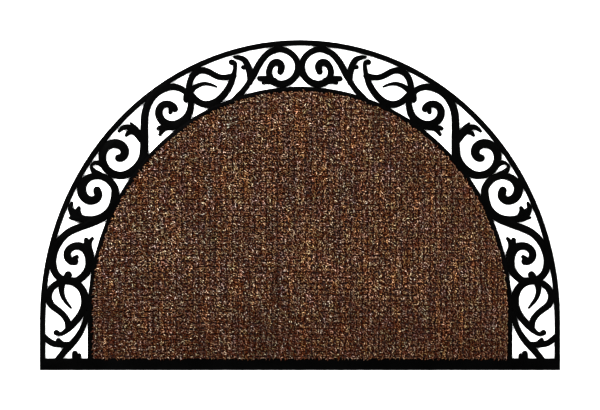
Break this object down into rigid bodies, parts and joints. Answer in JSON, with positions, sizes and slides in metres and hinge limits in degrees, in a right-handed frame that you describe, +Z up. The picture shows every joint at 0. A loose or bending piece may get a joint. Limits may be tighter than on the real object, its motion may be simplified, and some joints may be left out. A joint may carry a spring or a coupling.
{
  "type": "half-round doormat",
  "caption": "Half-round doormat: a flat moulded rubber frame with an openwork scroll border, round an insert of short curled turf pile.",
  "frame": {"origin": "on the floor under the middle of the mat's bounding box", "axes": "+X along the straight front edge, +Y from that edge to the crown of the arch, +Z up from the floor"},
  "size_m": [0.914, 0.58, 0.012],
  "materials": {
    "rubber": "matte moulded black rubber",
    "pile": "short curled turf pile, mixed brown, tan and black"
  },
  "bodies": {
    "root": {"rubber_frame": "rubber", "pile_insert": "pile"}
  },
  "joints": []
}
